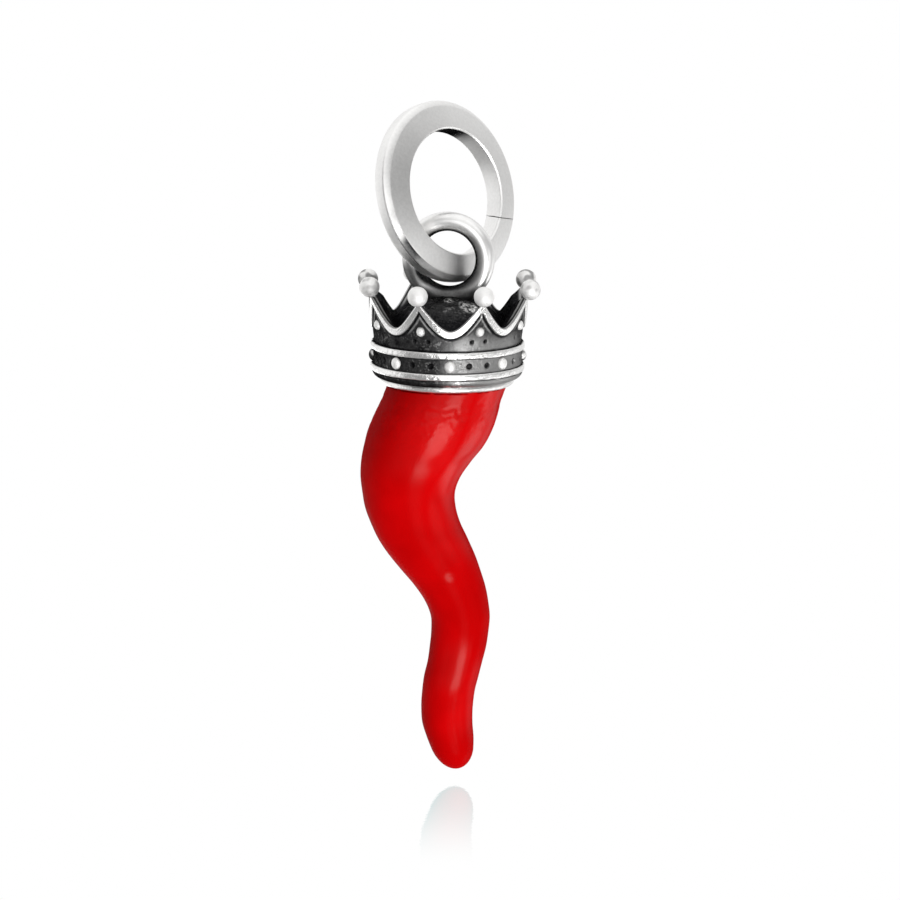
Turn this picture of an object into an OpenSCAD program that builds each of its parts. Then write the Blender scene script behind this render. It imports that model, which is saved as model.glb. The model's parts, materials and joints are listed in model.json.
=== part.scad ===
// Cornicello pendant: a red horn in a silver crown, hung by a wire loop from a thick charm ring.
// Millimetres, Z up, the front towards -Y. The origin is the inside top of the charm ring's bore.

/* [Charm ring] */
// Outside diameter of the charm ring
ring_od = 13.7; // [13.4:0.1:14]
// Bore of the charm ring
ring_bore = 9.44; // [9:0.02:9.6]
// How far the bore's centre lies below the ring's, which leaves the ring thinner at its foot
ring_bore_drop = 0.14; // [0:0.02:0.2]
// Thickness of the charm ring along its axis
ring_thick = 1.7; // [1.6:0.02:1.74]
// How much the ring's front face falls back towards its rim
ring_fall = 0.4; // [0.2:0.02:0.5]
// Bevel between the front face and the rim
ring_rim_bevel = 0.4; // [0.3:0.02:0.5]
// Bevel along the back edge of the rim
ring_back_bevel = 0.12; // [0.08:0.01:0.2]
// Bevel along both edges of the bore
ring_bore_bevel = 0.14; // [0.1:0.02:0.24]
// Width of the seam that cuts the ring through
seam_w = 0.07; // [0.04:0.01:0.12]
// Place of the seam at the bore's front edge, counted upwards from the ring's right side
seam_at = -31; // [-50:1:-10]
// Slant of the seam across the face, higher at the rim
seam_lean = 17; // [0:1:20]
// Slant of the seam through the ring, higher at the back
seam_twist = 16; // [0:1:20]
// Turn of the ring's face to the right
ring_turn = 46; // [45:0.5:50]
// Backward lean of the ring
ring_lean = 15; // [12:0.5:16]
// Angle along the ring between its lowest point and the loop
ring_slide = 13; // [11:1:15]
// Clearance between the ring and the bottom of the loop's hole
ring_gap = 0.16; // [0.14:0.02:0.24]
// Shift of the ring along its axis, away from the middle of the loop
ring_shift = 0.16; // [0.1:0.02:0.24]

/* [Loop] */
// Diameter of the loop's hole
loop_hole = 4.16; // [4.12:0.02:4.3]
// Diameter of the loop's wire
loop_wire = 1.44; // [1.3:0.02:1.46]
// Turn of the loop, its right side towards the front where negative
loop_turn = -11; // [-14:1:-8]
// Depth that the loop's wire is sunk into the dome
loop_sink = 0.8; // [0.5:0.05:1.1]

/* [Collar] */
// Diameter of the socket that takes the horn's head
socket_d = 8.2; // [7.6:0.1:8.6]
// Depth of the socket above the collar's lip
socket_depth = 2.6; // [1.8:0.1:3.2]
// Outside diameter of the rolled lip
lip_d = 10; // [9.6:0.1:10.2]
// Height of the rolled lip
lip_h = 0.46; // [0.36:0.02:0.5]
// Height of the lower ridge's underside above the lip's foot
ridge_low_z = 1.08; // [1:0.02:1.2]
// Step between the bowl under the collar and the lower ridge
ridge_step = 0.14; // [0.08:0.02:0.2]
// Height of each ridge
ridge_h = 0.54; // [0.4:0.02:0.6]
// Height of the sunk band between the ridges
band_h = 1.08; // [1:0.02:1.3]
// Diameter over the ridges
ridge_d = 11.56; // [11.3:0.02:11.8]
// Depth of the sunk band
band_depth = 0.2; // [0.1:0.02:0.3]
// Diameter of the studs on the band
band_stud_d = 0.84; // [0.6:0.02:0.96]
// Height of these studs above the band
band_stud_h = 0.32; // [0.2:0.02:0.4]
// Diameter of the pits on the band
band_pit_d = 0.42; // [0.3:0.02:0.6]

/* [Crown] */
// Number of points
points = 8; // [6:1:10]
// Turn of the crown about its axis
crown_turn = 2; // [0:0.5:10]
// Diameter of the crown's wall just above the upper ridge
wall_d = 11.05; // [10.9:0.05:11.2]
// Thickness of the crown's wall
wall_t = 0.95; // [0.8:0.05:1.1]
// Height of the valleys above the upper ridge
valley_rise = 1.6; // [1.4:0.05:1.8]
// Height of the balls' centres above the valleys
point_rise = 2.7; // [2.6:0.05:3.2]
// Diameter of the circle through the balls' centres
ball_circle_d = 12.86; // [12.6:0.02:13.2]
// Diameter of the balls
ball_d = 1.52; // [1.3:0.02:1.7]
// Half width of a point just under its ball
tip_half_w = 0.22; // [0.16:0.02:0.3]
// Roundness of the valleys between the points
valley_round = 0.4; // [0.2:0.05:0.8]
// Width of the raised border along the points
border_w = 0.56; // [0.4:0.02:0.56]
// Height of the raised border above the wall
border_h = 0.12; // [0.08:0.01:0.16]
// Diameter of the stud on each point
point_stud_d = 0.68; // [0.5:0.02:0.8]
// Height of these studs above the wall
point_stud_h = 0.28; // [0.2:0.02:0.34]
// Diameter of the pits on each point
point_pit_d = 0.38; // [0.3:0.02:0.5]
// Angle about the axis between each point's middle and its pits
point_pit_turn = 5.6; // [4:0.2:7]
// Depth of all the pits
pit_depth = 0.16; // [0.1:0.02:0.25]
// Height of the dome above the valleys
dome_rise = 1.9; // [1.6:0.05:2.2]

/* [Horn] */
// Length of the horn below the collar's lip
horn_len = 29.5; // [26:0.5:33]
// Width of the horn at its thickest
horn_w = 9.3; // [9:0.1:9.4]
// Clearance between the horn and its collar, all round and on top
horn_gap = 0.06; // [0.05:0.01:0.1]
// Width of the chamfer on the horn's head
head_chamfer = 0.3; // [0.2:0.05:0.5]

/* [Hidden] */
$fn = 64;
silver = "silver";
patina = "dimgray";
enamel = "firebrick";

// Share of the border's width that is lost towards the tips
border_fade = 0.4;
// Share of a ball's radius below its centre at which its point ends
ball_seat = 0.9;
// Curve of the wall's flare: 1 is a straight cone, more starts upright
flare_power = 1.4;
// Radius of a stud's domed top, as a share of its diameter
stud_round = 0.72;
// Drop of the points' studs below the valleys, as a share of their diameter
point_stud_drop = 0.1;
// Place of the points' pits between the upper ridge and the valleys
point_pit_place = 0.46;
// Step along the bowl's quarter curve under the lower ridge, in degrees
bowl_step = 18;
// The rolled lip's section, as shares of its height
LIP_OUT = 0;
LIP_UP = 1;
lip_section = [
    // out from the lip's edge, up from its foot
    [-0.7, 0],
    [-0.2, 0.25],
    [0, 0.6],
    [-0.1, 1],
];

// Heights above the lip's foot
ridge_high_z = ridge_low_z + ridge_h + band_h;
wall_z = ridge_high_z + ridge_h;
valley_z = wall_z + valley_rise;
ball_z = valley_z + point_rise;
dome_z = valley_z + dome_rise;
loop_r = (loop_hole + loop_wire) / 2;
loop_z = dome_z - loop_sink + loop_wire / 2 + loop_r;

// The ring's section and its place in the loop
ring_w = (ring_od - ring_bore) / 2 - ring_bore_drop;
ring_mid_r = ring_od / 2 - ring_w / 2;
ring_foot = ring_w / 2 * cos(ring_lean) + ring_thick / 2 * sin(ring_lean);
ring_normal = [sin(ring_turn) * cos(ring_lean), -cos(ring_turn) * cos(ring_lean), sin(ring_lean)];
ring_side = [cos(ring_turn), sin(ring_turn), 0];
ring_up = [-sin(ring_turn) * sin(ring_lean), cos(ring_turn) * sin(ring_lean), cos(ring_lean)];
ring_in_loop = [0, 0, loop_z - loop_hole / 2 + ring_gap + ring_foot] + ring_shift * ring_normal;
ring_centre = ring_in_loop + ring_mid_r * (cos(ring_slide) * ring_up + sin(ring_slide) * ring_side);
hang_point = ring_centre + (ring_bore / 2 - ring_bore_drop) * ring_up;

// The outline of the opening between two points: a rounded V, open at the top
pitch = 360 / points;
valley_half_w = ball_circle_d / 2 * sin(pitch / 2) - tip_half_w;
valley_top = point_rise - ball_d / 2 * ball_seat;
cut_top_z = ball_z + ball_d;
cut_steps = 9;
valley_slope = valley_top / valley_half_w / (arm(1) - valley_round);
function arm(t) = sqrt(valley_round * valley_round + t * t);
function valley_edge(t) = valley_slope * valley_half_w * (arm(t) - valley_round);
function valley_angle(t) = atan(valley_slope * t / arm(t));
function half_outline(grow) = [for (i = [0 : cut_steps])
    let (t = i / cut_steps, a = valley_angle(t), out = grow * (1 - border_fade * t * t))
    [t * valley_half_w + out * sin(a), valley_z + valley_edge(t) - out * cos(a)]];
function mirrored(half) = [for (i = [len(half) - 1 : -1 : 1]) [-half[i][0], half[i][1]]];
function opening_outline(grow) =
    let (half = half_outline(grow), top_x = half[cut_steps][0] + tip_half_w / 2)
    concat(mirrored(half), half, [[top_x, cut_top_z], [-top_x, cut_top_z]]);

// Radius of the crown's wall at a height, flaring towards the points
wall_flare = ball_circle_d / 2 - wall_d / 2;
function wall_r(z) = wall_d / 2 + wall_flare * pow(max(0, z - wall_z) / (ball_z - wall_z), flare_power);
wall_steps = 6;
wall_foot_z = wall_z - ridge_h / 2;
wall_heights = [for (i = [0 : wall_steps]) wall_foot_z + (ball_z - wall_foot_z) * i / wall_steps];

// The horn's sections from the collar down, as shares of its length and of its width at the thickest
SECTION_DROP = 0;
SECTION_SHIFT = 1;
SECTION_WIDTH = 2;
SECTION_DEPTH = 3;
horn_sections = [
    // drop, shift to the right, width, depth
    [0.000, 0.000, 0.962, 0.962],
    [0.040, -0.045, 0.963, 0.960],
    [0.080, -0.090, 0.992, 0.965],
    [0.120, -0.138, 1.000, 0.945],
    [0.160, -0.187, 0.965, 0.895],
    [0.200, -0.248, 0.886, 0.830],
    [0.240, -0.293, 0.808, 0.785],
    [0.280, -0.306, 0.752, 0.745],
    [0.320, -0.290, 0.735, 0.710],
    [0.360, -0.249, 0.727, 0.675],
    [0.400, -0.188, 0.727, 0.645],
    [0.440, -0.118, 0.700, 0.610],
    [0.480, -0.044, 0.645, 0.570],
    [0.520, 0.030, 0.577, 0.530],
    [0.560, 0.088, 0.517, 0.500],
    [0.600, 0.122, 0.480, 0.480],
    [0.640, 0.120, 0.466, 0.466],
    [0.680, 0.106, 0.458, 0.456],
    [0.720, 0.083, 0.444, 0.446],
    [0.760, 0.053, 0.444, 0.440],
    [0.800, 0.031, 0.427, 0.427],
    [0.840, 0.020, 0.420, 0.418],
    [0.880, 0.025, 0.411, 0.408],
    [0.920, 0.049, 0.382, 0.380],
    [0.950, 0.066, 0.330, 0.330],
    [0.975, 0.083, 0.235, 0.235],
    [0.990, 0.090, 0.150, 0.150],
];
horn_tip_shift = 0.094;
horn_sides = 40;

// Half section of the ring's disc: a square back, and a face that falls from the bore to the rim
module disc_section() {
    rim_x = ring_od / 2;
    face_y = ring_thick / 2;
    rim_y = face_y - ring_fall;
    polygon([
        [0, -face_y],
        [rim_x - ring_back_bevel, -face_y],
        [rim_x, ring_back_bevel - face_y],
        [rim_x, rim_y - ring_rim_bevel],
        [rim_x - ring_rim_bevel, rim_y],
        [ring_bore / 2 + ring_bore_bevel, face_y],
        [0, face_y],
    ]);
}

// Half section of the bore's cut, opening out at both faces
module bore_section() {
    bore_x = ring_bore / 2;
    edge_y = ring_thick / 2 - ring_bore_bevel;
    mouth = 2 * ring_bore_bevel;
    polygon([
        [0, -edge_y - mouth],
        [bore_x + mouth, -edge_y - mouth],
        [bore_x, -edge_y],
        [bore_x, edge_y],
        [bore_x + mouth, edge_y + mouth],
        [0, edge_y + mouth],
    ]);
}

module ring_pose() {
    multmatrix([
        [ring_side[0], ring_up[0], ring_normal[0], ring_centre[0]],
        [ring_side[1], ring_up[1], ring_normal[1], ring_centre[1]],
        [ring_side[2], ring_up[2], ring_normal[2], ring_centre[2]],
    ]) children();
}

module charm_ring() {
    color(silver) translate(-hang_point) ring_pose() difference() {
        rotate_extrude() disc_section();
        translate([0, -ring_bore_drop, 0]) rotate_extrude() bore_section();
        translate([0, -ring_bore_drop, 0]) rotate([0, 0, seam_at])
            translate([ring_bore / 2, 0, ring_thick / 2]) seam_cut();
    }
}

// The saw cut, slanted about the bore's front edge
module seam_cut() {
    rotate([seam_twist, 0, seam_lean]) translate([-ring_thick, -seam_w / 2, -2 * ring_thick])
        cube([ring_thick + ring_od / 2, seam_w, 3 * ring_thick]);
}

module collar_profile() {
    ridge_r = ridge_d / 2;
    lip_top = lip_section[len(lip_section) - 1];
    bowl_in = lip_d / 2 + lip_h * lip_top[LIP_OUT];
    bowl_out = ridge_r - ridge_step;
    bowl_h = ridge_low_z - lip_h;
    polygon(concat(
        [[socket_d / 2, 0]],
        [for (s = lip_section) [lip_d / 2 + lip_h * s[LIP_OUT], lip_h * s[LIP_UP]]],
        [for (a = [bowl_step : bowl_step : 90])
            [bowl_in + (bowl_out - bowl_in) * sin(a), lip_h + bowl_h * (1 - cos(a))]],
        [
            [ridge_r, ridge_low_z + ridge_step / 2],
            [ridge_r, ridge_low_z + ridge_h],
            [ridge_r - band_depth, ridge_low_z + ridge_h],
            [ridge_r - band_depth, ridge_high_z],
            [ridge_r, ridge_high_z],
            [ridge_r, wall_z],
            [wall_d / 2, wall_z],
            [socket_d / 2, wall_z],
        ]
    ));
}

module crown_shell(proud) {
    rotate_extrude() polygon(concat(
        [for (z = wall_heights) [wall_r(z) + proud, z]],
        [for (i = [len(wall_heights) - 1 : -1 : 0]) [wall_r(wall_heights[i]) - wall_t, wall_heights[i]]]
    ));
}

module opening_prism(grow) {
    rotate([90, 0, 0]) linear_extrude(height = ball_circle_d) polygon(opening_outline(grow));
}

module at_valleys() {
    for (i = [0 : points - 1]) rotate([0, 0, crown_turn + i * pitch]) children();
}

module at_points() {
    for (i = [0 : points - 1]) rotate([0, 0, crown_turn + (i + 0.5) * pitch]) children();
}

module crown_wall() {
    difference() {
        crown_shell(0);
        at_valleys() opening_prism(0);
    }
    intersection() {
        crown_shell(border_h);
        difference() {
            at_valleys() opening_prism(border_w);
            at_valleys() opening_prism(0);
        }
    }
}

module dome() {
    base_r = wall_d / 2 - wall_t / 2;
    rise = dome_z - wall_z;
    ball_r = (base_r * base_r + rise * rise) / (2 * rise);
    intersection() {
        translate([0, 0, dome_z - ball_r]) sphere(r = ball_r);
        translate([0, 0, socket_depth]) cylinder(r = base_r, h = dome_z);
    }
}

// A stud with a domed top, rising towards the front from the surface at the given radius
module stud(surface_r, z, d, h) {
    dome_r = d * stud_round;
    translate([0, -surface_r, z]) rotate([90, 0, 0]) intersection() {
        translate([0, 0, -h]) cylinder(d = d, h = 2 * h);
        translate([0, 0, h - dome_r]) sphere(r = dome_r);
    }
}

// A drilled pit in the surface at the given radius
module pit(surface_r, z, d) {
    translate([0, pit_depth - surface_r, z]) rotate([90, 0, 0]) cylinder(d = d, h = wall_t);
}

module wire_loop() {
    rotate_extrude() translate([loop_r, 0]) circle(d = loop_wire);
}

module crown_cap() {
    band_r = ridge_d / 2 - band_depth;
    band_z = ridge_low_z + ridge_h + band_h / 2;
    stud_z = valley_z - point_stud_d * point_stud_drop;
    pit_z = wall_z + valley_rise * point_pit_place;
    color(patina) translate(-hang_point) difference() {
        union() {
            rotate_extrude() collar_profile();
            crown_wall();
            dome();
            at_points() translate([0, -ball_circle_d / 2, ball_z]) sphere(d = ball_d);
            at_points() stud(wall_r(stud_z), stud_z, point_stud_d, point_stud_h);
            at_valleys() stud(band_r, band_z, band_stud_d, band_stud_h);
            translate([0, 0, loop_z]) rotate([90, 0, loop_turn]) wire_loop();
        }
        translate([0, 0, -lip_h]) cylinder(d = socket_d, h = socket_depth + lip_h);
        at_valleys() for (i = [1, 2]) rotate([0, 0, i * pitch / 3]) pit(band_r, band_z, band_pit_d);
        at_points() for (side = [-1, 1])
            rotate([0, 0, side * point_pit_turn]) pit(wall_r(pit_z), pit_z, point_pit_d);
    }
}

// Smooth curve through four neighbouring values, between the middle two
function curve(a, b, c, d, t) =
    b + t * ((c - a) / 2 + t * ((2 * a - 5 * b + 4 * c - d) / 2 + t * (3 * b - a - 3 * c + d) / 2));
function row_at(i) = horn_sections[min(len(horn_sections) - 1, max(0, i))];
function section_at(i, t) = [for (k = [SECTION_DROP : SECTION_DEPTH])
    curve(row_at(i - 1)[k], row_at(i)[k], row_at(i + 1)[k], row_at(i + 2)[k], t)];
function oval(cx, z, w, d) = [for (k = [0 : horn_sides - 1])
    [cx + w / 2 * cos(360 * k / horn_sides), d / 2 * sin(360 * k / horn_sides), z]];

module horn() {
    head_r = socket_d / 2 - horn_gap;
    head_z = socket_depth - horn_gap;
    body = [for (i = [0 : len(horn_sections) - 2]) for (t = [0, 0.5]) section_at(i, t)];
    last = horn_sections[len(horn_sections) - 1];
    rings = concat(
        [oval(0, head_z, 2 * (head_r - head_chamfer), 2 * (head_r - head_chamfer)),
            oval(0, head_z - head_chamfer, 2 * head_r, 2 * head_r),
            oval(0, -horn_gap, 2 * head_r, 2 * head_r)],
        [for (s = body) oval(s[SECTION_SHIFT] * horn_w, -horn_gap - s[SECTION_DROP] * horn_len,
            s[SECTION_WIDTH] * horn_w, s[SECTION_DEPTH] * horn_w)],
        [oval(last[SECTION_SHIFT] * horn_w, -horn_gap - last[SECTION_DROP] * horn_len,
            last[SECTION_WIDTH] * horn_w, last[SECTION_DEPTH] * horn_w)]
    );
    count = len(rings);
    tip_point = [horn_tip_shift * horn_w, 0, -horn_gap - horn_len];
    verts = concat([[0, 0, head_z]], [for (r = rings) for (p = r) p], [tip_point]);
    tip = count * horn_sides + 1;
    faces = concat(
        [for (k = [0 : horn_sides - 1]) [0, 1 + (k + 1) % horn_sides, 1 + k]],
        [for (j = [0 : count - 2]) for (k = [0 : horn_sides - 1])
            let (a = 1 + j * horn_sides, n = (k + 1) % horn_sides)
            [a + k, a + n, a + horn_sides + n, a + horn_sides + k]],
        [for (k = [0 : horn_sides - 1])
            let (a = 1 + (count - 1) * horn_sides)
            [a + k, a + (k + 1) % horn_sides, tip]]
    );
    color(enamel) translate(-hang_point) polyhedron(points = verts, faces = faces);
}

charm_ring();
crown_cap();
horn();
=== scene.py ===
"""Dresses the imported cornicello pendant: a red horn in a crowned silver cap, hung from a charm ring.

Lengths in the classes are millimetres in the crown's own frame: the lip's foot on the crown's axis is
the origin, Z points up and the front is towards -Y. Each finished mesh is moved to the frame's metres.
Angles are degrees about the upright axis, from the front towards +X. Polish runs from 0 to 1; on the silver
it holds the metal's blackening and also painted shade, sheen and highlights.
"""
import json
import logging
import math
from dataclasses import dataclass, field
from enum import Enum
from typing import Sequence

import bmesh
import bpy
import numpy as np
from mathutils import Matrix, Vector, noise


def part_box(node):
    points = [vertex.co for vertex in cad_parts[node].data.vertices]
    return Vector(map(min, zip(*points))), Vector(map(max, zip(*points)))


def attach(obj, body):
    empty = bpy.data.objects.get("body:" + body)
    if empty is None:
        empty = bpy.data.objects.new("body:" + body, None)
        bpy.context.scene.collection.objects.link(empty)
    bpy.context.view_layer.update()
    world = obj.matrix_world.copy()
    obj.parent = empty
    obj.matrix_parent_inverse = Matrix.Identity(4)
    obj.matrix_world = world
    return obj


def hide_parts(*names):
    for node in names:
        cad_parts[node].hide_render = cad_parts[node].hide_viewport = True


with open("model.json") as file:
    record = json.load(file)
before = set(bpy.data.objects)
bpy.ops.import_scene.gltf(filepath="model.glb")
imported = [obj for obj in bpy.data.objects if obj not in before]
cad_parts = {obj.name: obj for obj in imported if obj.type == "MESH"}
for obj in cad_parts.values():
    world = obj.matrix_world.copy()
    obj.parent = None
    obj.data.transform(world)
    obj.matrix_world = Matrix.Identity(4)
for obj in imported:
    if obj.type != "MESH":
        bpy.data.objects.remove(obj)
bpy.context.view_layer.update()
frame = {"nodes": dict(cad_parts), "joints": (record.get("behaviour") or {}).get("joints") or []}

MM = 0.001
FULL_TURN = 360.0
# a turning is spun through one sector, and the sector is doubled three times
SECTORS = 8
# distance in millimetres below which two vertices are one
MERGE = 2e-3
log = logging.getLogger("pendant")


class Body(Enum):
    """The two bodies that the pieces ride on."""

    RING = "ring"
    PENDANT = "pendant"


class Slot(Enum):
    """The record's material slots."""

    RING = "satin_silver"
    CAP = "oxidised_silver"
    HORN = "red_enamel"


def smooth(low: float, high: float, value: np.ndarray) -> np.ndarray:
    """Eases from 0 at low to 1 at high.

    Args:
        low: Value at which the step starts.
        high: Value at which the step ends; it may lie below low.
        value: Where the step is read.

    Returns:
        The eased share, the same shape as value.
    """
    t = np.clip((value - low) / (high - low), 0.0, 1.0)
    return t * t * (3.0 - 2.0 * t)


def wobble(points: np.ndarray, size: float, seed: float = 0.0) -> np.ndarray:
    """Reads smooth noise between about -1 and 1.

    Args:
        points: Places in millimetres, one a row.
        size: Width of the noise's bumps in millimetres.
        seed: Shift that gives another pattern.

    Returns:
        One value for each point.
    """
    shift = Vector((seed, seed * 0.37, -seed * 0.71))
    return np.array([noise.noise(Vector(p) / size + shift) for p in points]) * 1.6


def within(value: np.ndarray, rise: tuple[float, float], fall: tuple[float, float]) -> np.ndarray:
    """Share of 1 from the end of the rise to the start of the fall, eased to 0 outside them."""
    return smooth(*rise, value) * smooth(fall[1], fall[0], value)


def bell(value: np.ndarray, width: float) -> np.ndarray:
    """Share of 1 at 0 that fades on both sides over a width."""
    return np.exp(-(value / width) ** 2)


def wrapped(angle: np.ndarray, span: float = FULL_TURN) -> np.ndarray:
    """Angle brought to within half a span of 0."""
    return (angle + span / 2) % span - span / 2


def about_z(angle: float) -> Matrix:
    """Matrix of a turn about the upright axis."""
    return Matrix.Rotation(math.radians(angle), 4, "Z")


def towards(azimuth: float, elevation: float) -> Vector:
    """Direction at an azimuth from the front to the right and an elevation above the horizon."""
    a, e = math.radians(azimuth), math.radians(elevation)
    return Vector((math.sin(a) * math.cos(e), -math.cos(a) * math.cos(e), math.sin(e)))


class Graph:
    """A material's nodes, built round one Principled shader."""

    def __init__(self, name: str) -> None:
        """Starts a material with its shader and Object coordinates.

        Args:
            name: Name of the material.
        """
        self.material = bpy.data.materials.new(name)
        self.material.use_nodes = True
        self.tree = self.material.node_tree
        self.shader = self.tree.nodes["Principled BSDF"]
        self.coords = self.tree.nodes.new("ShaderNodeTexCoord").outputs["Object"]

    def set(self, **values: object) -> None:
        """Sets the shader's own sockets, with an underscore for each space in a socket's name."""
        for key, value in values.items():
            self.shader.inputs[key.replace("_", " ")].default_value = value

    def link(self, source: bpy.types.NodeSocket, socket: str) -> None:
        """Feeds one of the shader's sockets."""
        self.tree.links.new(source, self.shader.inputs[socket])

    def attribute(self, name: str) -> bpy.types.NodeSocket:
        """Reads a mesh attribute.

        Args:
            name: Name of the attribute.

        Returns:
            Its value as a factor.
        """
        node = self.tree.nodes.new("ShaderNodeAttribute")
        node.attribute_name = name
        return node.outputs["Fac"]

    def noise(self, size_mm: float, detail: float = 3.0, roughness: float = 0.55) -> bpy.types.NodeSocket:
        """Adds noise on Object coordinates.

        Args:
            size_mm: Width of its features.
            detail: Number of finer octaves.
            roughness: Strength of the finer octaves.

        Returns:
            The noise's factor.
        """
        node = self.tree.nodes.new("ShaderNodeTexNoise")
        node.inputs["Scale"].default_value = 1.0 / (size_mm * MM)
        node.inputs["Detail"].default_value = detail
        node.inputs["Roughness"].default_value = roughness
        self.tree.links.new(self.coords, node.inputs["Vector"])
        return node.outputs["Fac"]

    def ramp(self, source: bpy.types.NodeSocket, low: float, high: float,
             start: float = 0.0, end: float = 1.0) -> bpy.types.NodeSocket:
        """Maps a range of the source to another range, clamped.

        Args:
            source: Value to map.
            low: Source value that gives start.
            high: Source value that gives end.
            start: Result at low.
            end: Result at high.

        Returns:
            The mapped value.
        """
        node = self.tree.nodes.new("ShaderNodeMapRange")
        node.interpolation_type = "SMOOTHSTEP"
        self.tree.links.new(source, node.inputs["Value"])
        for key, value in (("From Min", low), ("From Max", high), ("To Min", start), ("To Max", end)):
            node.inputs[key].default_value = value
        return node.outputs["Result"]

    def combine(self, kind: str, first: bpy.types.NodeSocket,
                second: bpy.types.NodeSocket) -> bpy.types.NodeSocket:
        """Adds a Math node.

        Args:
            kind: The node's operation, such as MULTIPLY.
            first: First value.
            second: Second value.

        Returns:
            The result, clamped between 0 and 1.
        """
        node = self.tree.nodes.new("ShaderNodeMath")
        node.operation = kind
        node.use_clamp = True
        self.tree.links.new(first, node.inputs[0])
        self.tree.links.new(second, node.inputs[1])
        return node.outputs[0]

    def blend(self, factor: bpy.types.NodeSocket, dark: Sequence[float],
              light: Sequence[float]) -> bpy.types.NodeSocket:
        """Mixes two colours.

        Args:
            factor: 0 gives dark and 1 gives light.
            dark: First colour.
            light: Second colour.

        Returns:
            The mixed colour.
        """
        node = self.tree.nodes.new("ShaderNodeMix")
        node.data_type = "RGBA"
        self.tree.links.new(factor, node.inputs["Factor"])
        node.inputs["A"].default_value = (*dark, 1.0)
        node.inputs["B"].default_value = (*light, 1.0)
        return node.outputs["Result"]

    def bump(self, height: bpy.types.NodeSocket, depth_mm: float) -> bpy.types.NodeSocket:
        """Adds fine relief.

        Args:
            height: Height between 0 and 1.
            depth_mm: Depth of the relief.

        Returns:
            The bumped normal.
        """
        node = self.tree.nodes.new("ShaderNodeBump")
        node.inputs["Distance"].default_value = depth_mm * MM
        self.tree.links.new(height, node.inputs["Height"])
        return node.outputs["Normal"]


@dataclass(frozen=True)
class Silver:
    """Cast silver, blackened where its polish attribute is low and bright where it is high."""

    name: str
    bright: tuple = (0.93, 0.925, 0.915)
    dark: tuple = (0.010, 0.010, 0.011)
    bright_rough: float = 0.2
    dark_rough: float = 0.46
    grain_mm: float = 0.16
    grain_depth: float = 0.012
    speckle: float = 0.12
    mottle: float = 0.02
    # tint of the reflections at a grazing angle, where the metal is black and where it is bright
    black_edge: tuple = (0.0, 0.0, 0.0)
    bright_edge: tuple = (1.0, 1.0, 1.0)

    def material(self) -> bpy.types.Material:
        """Builds the shader: polish broken up by soft blotches, speckles in the black, and a fine grain.

        Returns:
            The material.
        """
        g = Graph(self.name)
        polish = g.attribute("polish")
        grain = g.noise(self.grain_mm, 3.0, 0.6)
        blotch = g.noise(self.grain_mm * 4.0, 2.0)
        painted_glints = g.combine("ADD", polish, g.ramp(grain, 0.3, 0.7, -self.mottle, self.mottle))
        speckle = g.ramp(g.combine("MULTIPLY", grain, blotch), 0.26, 0.42, 0.0, self.speckle)
        tone = g.combine("MAXIMUM", painted_glints, g.combine("MULTIPLY", speckle, g.ramp(polish, 0.0, 0.06)))
        g.link(g.blend(tone, self.dark, self.bright), "Base Color")
        g.link(g.ramp(tone, 0.0, 0.8, self.dark_rough, self.bright_rough), "Roughness")
        g.link(g.blend(g.ramp(tone, 0.05, 0.5), self.black_edge, self.bright_edge), "Specular Tint")
        g.link(g.bump(grain, self.grain_depth), "Normal")
        g.set(Metallic=1.0)
        return g.material


@dataclass(frozen=True)
class Enamel:
    """Deep glossy red whose gloss follows the polish attribute."""

    name: str
    deep: tuple = (0.275, 0.0003, 0.0006)
    full: tuple = (0.335, 0.0005, 0.0010)
    dull_rough: float = 0.27
    gloss_rough: float = 0.2

    def material(self) -> bpy.types.Material:
        """Builds the shader: clouded red with soft ripples and an uneven gloss.

        Returns:
            The material.
        """
        g = Graph(self.name)
        cloud = g.noise(5.0, 3.0, 0.5)
        g.link(g.blend(g.ramp(cloud, 0.35, 0.65), self.deep, self.full), "Base Color")
        gloss = g.attribute("polish")
        g.link(g.ramp(gloss, 0.0, 1.0, self.dull_rough, self.gloss_rough), "Roughness")
        facing = g.tree.nodes.new("ShaderNodeLayerWeight").outputs["Facing"]
        front = g.ramp(facing, 0.35, 0.8, 1.0, 0.05)
        g.link(g.combine("MULTIPLY", front, g.ramp(gloss, 0.0, 2.0, 0.03, 0.8)), "Specular IOR Level")
        g.link(g.bump(g.noise(1.3, 2.0, 0.4), 0.01), "Normal")
        g.set(Metallic=0.0, IOR=1.28, Specular_Tint=(1.0, 0.75, 0.7, 1.0))
        return g.material


@dataclass(frozen=True)
class Place:
    """Where the crown's axis and the charm ring stand in the frame, in metres."""

    foot: Vector
    ring_centre: Vector
    ring_normal: Vector
    ring_up: Vector

    @classmethod
    def read(cls) -> "Place":
        """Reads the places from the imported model.

        Returns:
            The place of the crown's foot and of the ring.
        """
        low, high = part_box("crown_cap")
        joint = frame["joints"][0]
        centre = Vector(joint["pos_m"])
        return cls(Vector(((low.x + high.x) / 2, (low.y + high.y) / 2, low.z)), centre,
                   Vector(joint["axis"]).normalized(), (-centre).normalized())

    def crown(self) -> Matrix:
        """Matrix from the crown's millimetres to the frame's metres."""
        return Matrix.Translation(self.foot) @ Matrix.Scale(MM, 4)

    def ring(self) -> Matrix:
        """Places the ring.

        Returns:
            Matrix from the ring's millimetres, Z along its axis and Y to its top, to the frame's metres.
        """
        side = self.ring_up.cross(self.ring_normal)
        turn = Matrix((side, self.ring_up, self.ring_normal)).transposed().to_4x4()
        return Matrix.Translation(self.ring_centre) @ turn @ Matrix.Scale(MM, 4)


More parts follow.
